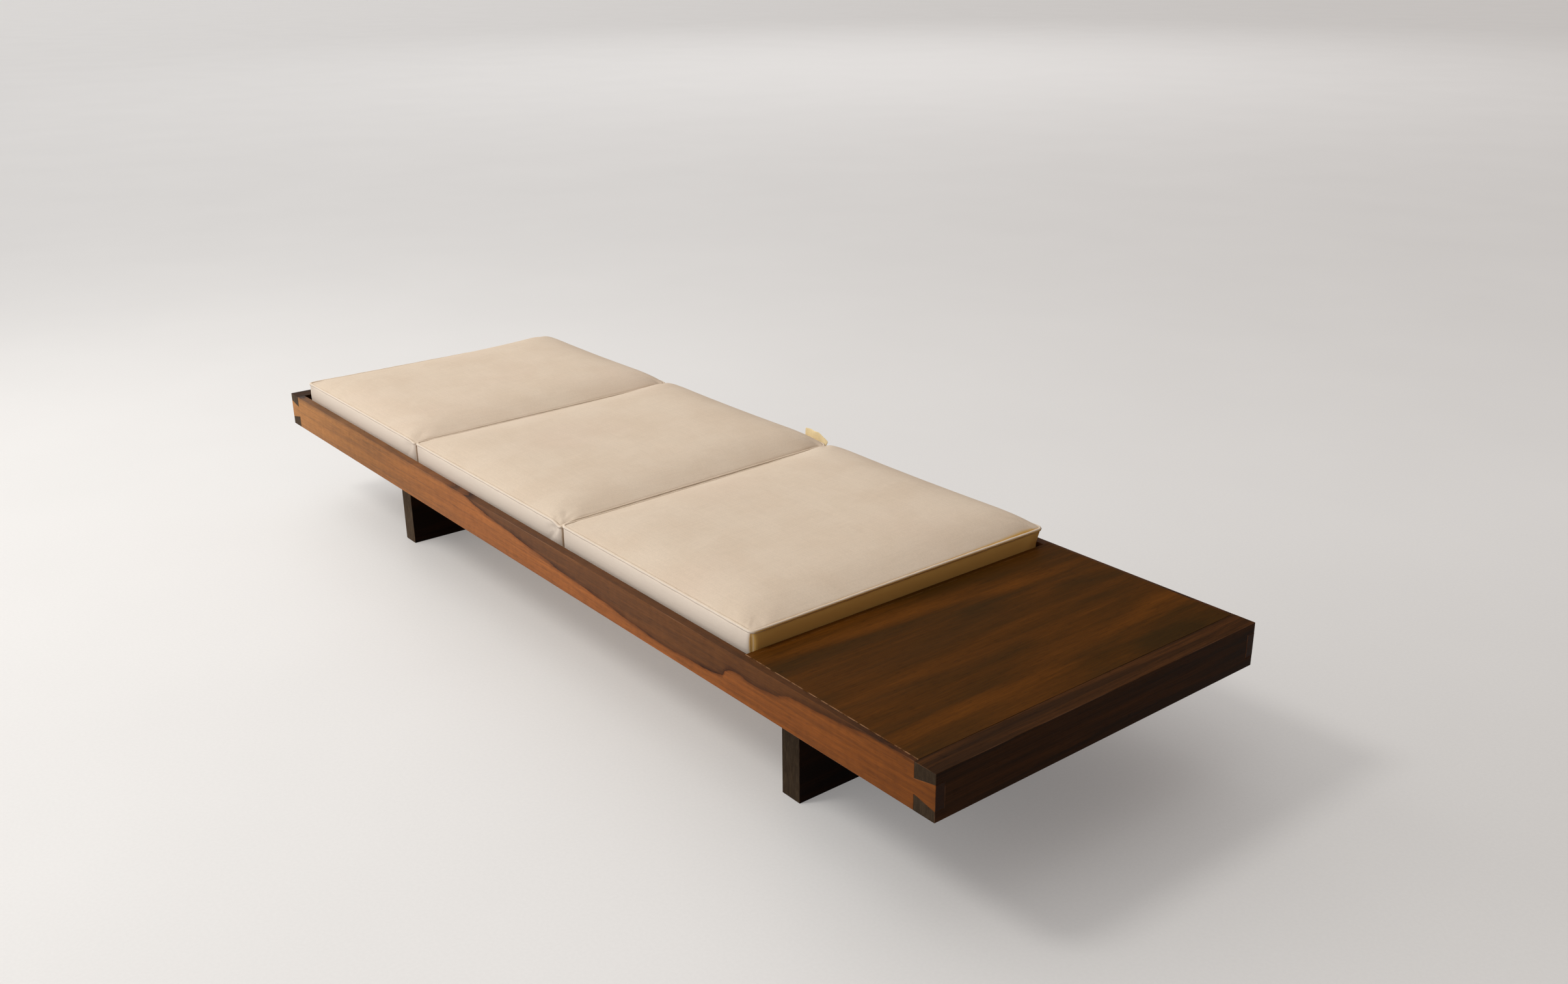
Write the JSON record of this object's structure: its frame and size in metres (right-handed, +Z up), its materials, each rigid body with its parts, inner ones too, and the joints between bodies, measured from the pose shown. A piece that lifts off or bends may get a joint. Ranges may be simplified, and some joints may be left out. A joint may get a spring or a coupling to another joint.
{
  "type": "daybed",
  "caption": "Low rosewood daybed: dovetailed frame on two plank legs, loose box cushions in a slatted well and a flush table at one end.",
  "frame": {"origin": "on the floor, below the middle of the frame's outer box", "axes": "+X along the length, from the head end towards the table end; -Y the front long side; +Z up"},
  "size_m": [2.6, 0.82, 0.392],
  "materials": {
    "rail_rosewood": "satin",
    "end_rosewood": "satin",
    "table_rosewood": "satin",
    "pale_hardwood": "matte",
    "steel": "satin",
    "canvas": "matte",
    "lining": "matte",
    "foam": "matte",
    "zip": "satin"
  },
  "bodies": {
    "frame": {"side_rail_front": "rail_rosewood", "side_rail_back": "rail_rosewood", "end_rail_head": "end_rosewood", "end_rail_table": "end_rosewood", "cross_rail": "end_rosewood", "leg_head": "end_rosewood", "leg_table": "end_rosewood", "leg_bearer_head": "pale_hardwood", "leg_bearer_table": "pale_hardwood", "tenon_wedges_head": "end_rosewood", "tenon_wedges_table": "end_rosewood", "ledger_front_head": "pale_hardwood", "ledger_front_middle": "pale_hardwood", "ledger_back_head": "pale_hardwood", "ledger_back_middle": "pale_hardwood", "deck_slat_1": "pale_hardwood", "deck_slat_2": "pale_hardwood", "deck_slat_3": "pale_hardwood", "deck_slat_4": "pale_hardwood", "deck_slat_5": "pale_hardwood", "deck_slat_6": "pale_hardwood", "deck_slat_7": "pale_hardwood", "deck_slat_8": "pale_hardwood", "deck_slat_9": "pale_hardwood", "deck_slat_10": "pale_hardwood", "deck_slat_11": "pale_hardwood", "deck_slat_12": "pale_hardwood", "deck_slat_13": "pale_hardwood", "deck_slat_14": "pale_hardwood", "ledger_screws": "steel", "slat_screws": "steel", "table_core": "pale_hardwood", "table_veneer": "table_rosewood", "table_backing_veneer": "table_rosewood", "table_lipping": "table_rosewood", "table_cleat_front": "pale_hardwood", "table_cleat_back": "pale_hardwood", "table_cleat_end": "pale_hardwood", "cleat_screws": "steel", "table_screws": "steel"},
    "cushion_1": {"cushion_cover_1": "canvas", "cushion_foam_1": "foam", "cushion_zip_1": "zip"},
    "cushion_2": {"cushion_cover_2": "canvas", "cushion_foam_2": "foam", "cushion_zip_2": "zip", "cushion_flap_2": "lining"},
    "cushion_3": {"cushion_cover_3": "canvas", "cushion_foam_3": "foam", "cushion_zip_3": "zip"}
  },
  "joints": [
    {"name": "cushion_1_lift", "type": "slide", "parent": "frame", "child": "cushion_1", "axis": [0, 0, 1], "range_m": [0, 0.15]},
    {"name": "cushion_2_lift", "type": "slide", "parent": "frame", "child": "cushion_2", "axis": [0, 0, 1], "range_m": [0, 0.15]},
    {"name": "cushion_3_lift", "type": "slide", "parent": "frame", "child": "cushion_3", "axis": [0, 0, 1], "range_m": [0, 0.15]}
  ]
}
